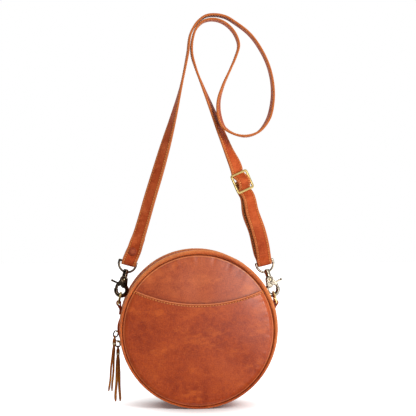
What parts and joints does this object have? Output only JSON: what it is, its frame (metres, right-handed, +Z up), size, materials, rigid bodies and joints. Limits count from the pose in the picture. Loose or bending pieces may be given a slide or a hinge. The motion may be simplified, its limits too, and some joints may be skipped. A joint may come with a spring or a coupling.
{
  "type": "round crossbody bag",
  "caption": "Round leather crossbody bag with a curved slip pocket, a zip over the top, tassel pulls, snap hooks and a buckled strap that hangs looped over a peg.",
  "frame": {"origin": "where the underside of the strap's inner pass rests on the peg that the bag hangs from", "axes": "+Z up, +X to the right as seen from the front, the front pocket faces -Y"},
  "size_m": [0.2254, 0.071, 0.5023],
  "materials": {
    "panel_leather": "waxed cognac cowhide with fine grain and a soft sheen",
    "pocket_leather": "waxed cognac cowhide, redder and darker toward the bottom",
    "edge_leather": "same hide stretched over a rolled edge, lighter and more orange",
    "gusset_leather": "same hide, edge-stitched beside the zip",
    "lining": "plain cotton lining",
    "zip_tape": "woven brown zip tape",
    "zip_brass": "antique brass",
    "lace_leather": "dark brown leather lace with raw edges",
    "tab_leather": "folded hide with dark painted edges",
    "ring_metal": "polished pale brass",
    "antique_brass": "antique brass, dark in the recesses and bright on the edges",
    "strap_leather": "folded cognac strap stitched along both edges",
    "cap_leather": "leather-covered flat cap",
    "buckle_brass": "polished brass"
  },
  "bodies": {
    "strap": {"strap_main": "strap_leather", "strap_above_buckle": "strap_leather", "strap_lower_front": "strap_leather", "strap_fold_right": "strap_leather", "strap_lower_back": "strap_leather", "strap_cap": "cap_leather", "swivel_eye_left": "antique_brass", "swivel_eye_right": "antique_brass"},
    "adjuster": {"buckle": "buckle_brass", "strap_in_buckle": "strap_leather", "strap_end_loop": "strap_leather"},
    "hook_left": {"hook_left": "antique_brass", "trigger_pin_left": "antique_brass"},
    "hook_right": {"hook_right": "antique_brass", "trigger_pin_right": "antique_brass"},
    "trigger_left": {"trigger_left": "antique_brass"},
    "trigger_right": {"trigger_right": "antique_brass"},
    "bag": {"front_panel": "panel_leather", "front_pocket": "pocket_leather", "front_roll": "edge_leather", "front_lining": "lining", "back_panel": "panel_leather", "back_roll": "edge_leather", "back_lining": "lining", "gusset_lower": "gusset_leather", "gusset_strip_front": "gusset_leather", "gusset_strip_back": "gusset_leather", "gusset_lining": "lining", "zip_tape_front": "zip_tape", "zip_tape_back": "zip_tape", "zip_teeth_front": "zip_brass", "zip_teeth_back": "zip_brass", "tab_left": "tab_leather", "tab_right": "tab_leather"},
    "d_ring_left": {"d_ring_left": "ring_metal"},
    "d_ring_right": {"d_ring_right": "ring_metal"},
    "slider_lower": {"slider_lower": "zip_brass"},
    "slider_upper": {"slider_upper": "zip_brass"},
    "pull_upper": {"pull_ring_upper": "zip_brass", "tassel_upper": "lace_leather", "tassel_rivet_upper": "zip_brass"},
    "pull_lower": {"pull_ring_lower": "zip_brass", "tassel_lower": "lace_leather", "tassel_rivet_lower": "zip_brass"}
  },
  "joints": [
    {"name": "bag_swing", "type": "hinge", "parent": "strap", "child": "bag", "pos_m": [-0.01753, 0, -0.35233], "axis": [1, 0, 0], "range_deg": [-30, 30]},
    {"name": "hook_left_swivel", "type": "hinge", "parent": "strap", "child": "hook_left", "pos_m": [-0.10644, 0, -0.309], "axis": [-0.225, 0, -0.9744], "range_deg": [-15, 15]},
    {"name": "hook_right_swivel", "type": "hinge", "parent": "strap", "child": "hook_right", "pos_m": [0.06862, 0, -0.30973], "axis": [0.2924, 0, -0.9563], "range_deg": [-15, 15]},
    {"name": "trigger_left_press", "type": "hinge", "parent": "hook_left", "child": "trigger_left", "pos_m": [-0.11172, 0, -0.3319], "axis": [0, -1, 0], "range_deg": [0, 25], "stiffness_Nm_per_rad": 0.04, "springref_deg": -17.19},
    {"name": "trigger_right_press", "type": "hinge", "parent": "hook_right", "child": "trigger_right", "pos_m": [0.07549, 0, -0.33221], "axis": [0, 1, 0], "range_deg": [0, 25], "stiffness_Nm_per_rad": 0.04, "springref_deg": -17.19},
    {"name": "d_ring_left_tilt", "type": "hinge", "parent": "bag", "child": "d_ring_left", "pos_m": [-0.11836, 0, -0.36167], "axis": [0, 1, 0], "range_deg": [-3, 3]},
    {"name": "d_ring_right_tilt", "type": "hinge", "parent": "bag", "child": "d_ring_right", "pos_m": [0.08329, 0, -0.36167], "axis": [0, 1, 0], "range_deg": [-3, 3]},
    {"name": "slider_lower_run", "type": "hinge", "parent": "bag", "child": "slider_lower", "pos_m": [-0.01753, 0, -0.39307], "axis": [0, 1, 0], "range_deg": [0, 45]},
    {"name": "slider_upper_run", "type": "hinge", "parent": "slider_lower", "child": "slider_upper", "pos_m": [-0.01753, 0, -0.39307], "axis": [0, 1, 0], "range_deg": [0, 140]},
    {"name": "pull_upper_flip", "type": "hinge", "parent": "slider_upper", "child": "pull_upper", "pos_m": [-0.12107, -0.0194, -0.39669], "axis": [0, 1, 0], "range_deg": [0, 150]},
    {"name": "pull_lower_flip", "type": "hinge", "parent": "slider_lower", "child": "pull_lower", "pos_m": [-0.1198, -0.0146, -0.40963], "axis": [0, 1, 0], "range_deg": [0, 150]},
    {"name": "buckle_slide", "type": "slide", "parent": "strap", "child": "adjuster", "axis": [0.4025, 0, -0.9154], "range_m": [-0.012, 0.018], "deforming": ["strap_above_buckle", "strap_lower_front", "strap_lower_back"]}
  ]
}
